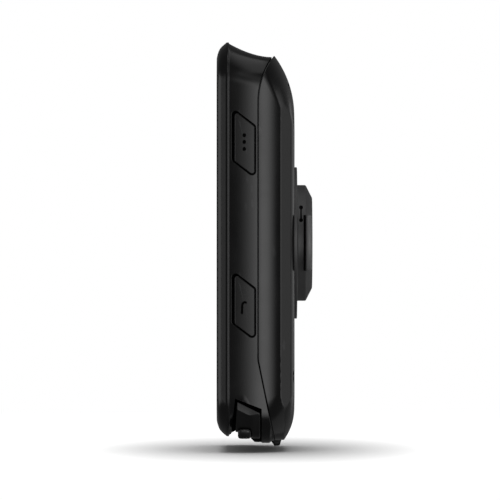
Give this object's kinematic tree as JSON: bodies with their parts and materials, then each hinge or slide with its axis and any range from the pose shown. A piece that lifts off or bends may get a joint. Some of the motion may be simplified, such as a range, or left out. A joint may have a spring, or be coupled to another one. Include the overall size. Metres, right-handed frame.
{
  "type": "cycling computer",
  "caption": "Handlebar cycling computer: glass-fronted waisted case with side buttons, corner keys, a hinged port door and a quarter-turn mount.",
  "frame": {"origin": "centre of the outer flat face of the quarter-turn boss on the back of the case", "axes": "+Y out of the back along the mount's axis, +Z to the top of the case, +X to the case's right-hand side as the rider sees the screen"},
  "size_m": [0.05, 0.0194, 0.0819],
  "materials": {
    "bezel_plastic": "satin moulded black",
    "housing_plastic": "fine-grained matt black",
    "shell_plastic": "fine-grained matt black",
    "button_plastic": "soft-touch matt black",
    "mount_plastic": "satin glass-filled nylon, dark grey",
    "door_rubber": "matt silicone rubber",
    "seal_rubber": "matt silicone rubber",
    "cover_glass": "polished, tinted",
    "tape": "adhesive foam",
    "display": "reflective colour display",
    "steel": "stamped and turned stainless steel",
    "flex": "amber polyimide film",
    "board": "green solder mask",
    "chip": "black moulding compound",
    "ceramic": "unglazed ceramic",
    "switch": "pressed steel cover",
    "battery": "laminated foil pouch",
    "white_plastic": "natural nylon",
    "lead": "silicone insulation",
    "beeper": "moulded",
    "sensor": "pressed lid",
    "membrane": "porous film"
  },
  "bodies": {
    "case": {"front_bezel": "bezel_plastic", "cover_glass": "cover_glass", "glass_tape": "tape", "display_panel": "display", "display_tray": "steel", "display_flex": "flex", "mid_housing": "housing_plastic", "rear_shell": "shell_plastic", "case_seal": "seal_rubber", "case_screws": "steel", "mount_insert": "mount_plastic", "mount_screws": "steel", "tether_eyelet": "shell_plastic", "main_board": "board", "board_screws": "steel", "shield_cans": "steel", "board_chips": "chip", "gps_antenna": "ceramic", "radio_antenna": "ceramic", "switch_bodies": "switch", "button_seals": "seal_rubber", "usb_port": "steel", "battery": "battery", "battery_tape": "tape", "battery_connector": "white_plastic", "battery_lead": "lead", "beeper": "beeper", "pressure_sensor": "sensor", "vent_membrane": "membrane", "door_pin": "steel"},
    "menu": {"menu_button": "button_plastic", "menu_plunger": "chip"},
    "back": {"back_button": "button_plastic", "back_plunger": "chip"},
    "power": {"power_button": "button_plastic", "power_plunger": "chip"},
    "up": {"up_button": "button_plastic", "up_plunger": "chip"},
    "down": {"down_button": "button_plastic", "down_plunger": "chip"},
    "start": {"start_key": "button_plastic", "start_plunger": "chip"},
    "lap": {"lap_key": "button_plastic", "lap_plunger": "chip"},
    "door": {"port_door": "door_rubber"}
  },
  "joints": [
    {"name": "menu_press", "type": "slide", "parent": "case", "child": "menu", "axis": [-1, 0, 0], "range_m": [0, 0.00045], "stiffness_N_per_m": 400, "springref_m": -0.002},
    {"name": "back_press", "type": "slide", "parent": "case", "child": "back", "axis": [-1, 0, 0], "range_m": [0, 0.00045], "stiffness_N_per_m": 400, "springref_m": -0.002},
    {"name": "power_press", "type": "slide", "parent": "case", "child": "power", "axis": [1, 0, 0], "range_m": [0, 0.00045], "stiffness_N_per_m": 400, "springref_m": -0.002},
    {"name": "up_press", "type": "slide", "parent": "case", "child": "up", "axis": [1, 0, 0], "range_m": [0, 0.00045], "stiffness_N_per_m": 400, "springref_m": -0.002},
    {"name": "down_press", "type": "slide", "parent": "case", "child": "down", "axis": [1, 0, 0], "range_m": [0, 0.00045], "stiffness_N_per_m": 400, "springref_m": -0.002},
    {"name": "start_press", "type": "slide", "parent": "case", "child": "start", "axis": [0, 0, 1], "range_m": [0, 0.00045], "stiffness_N_per_m": 400, "springref_m": -0.002},
    {"name": "lap_press", "type": "slide", "parent": "case", "child": "lap", "axis": [0, 0, 1], "range_m": [0, 0.00045], "stiffness_N_per_m": 400, "springref_m": -0.002},
    {"name": "door_hinge", "type": "hinge", "parent": "case", "child": "door", "pos_m": [0, -0.00985, -0.03985], "axis": [1, 0, 0], "range_deg": [0, 95]}
  ]
}
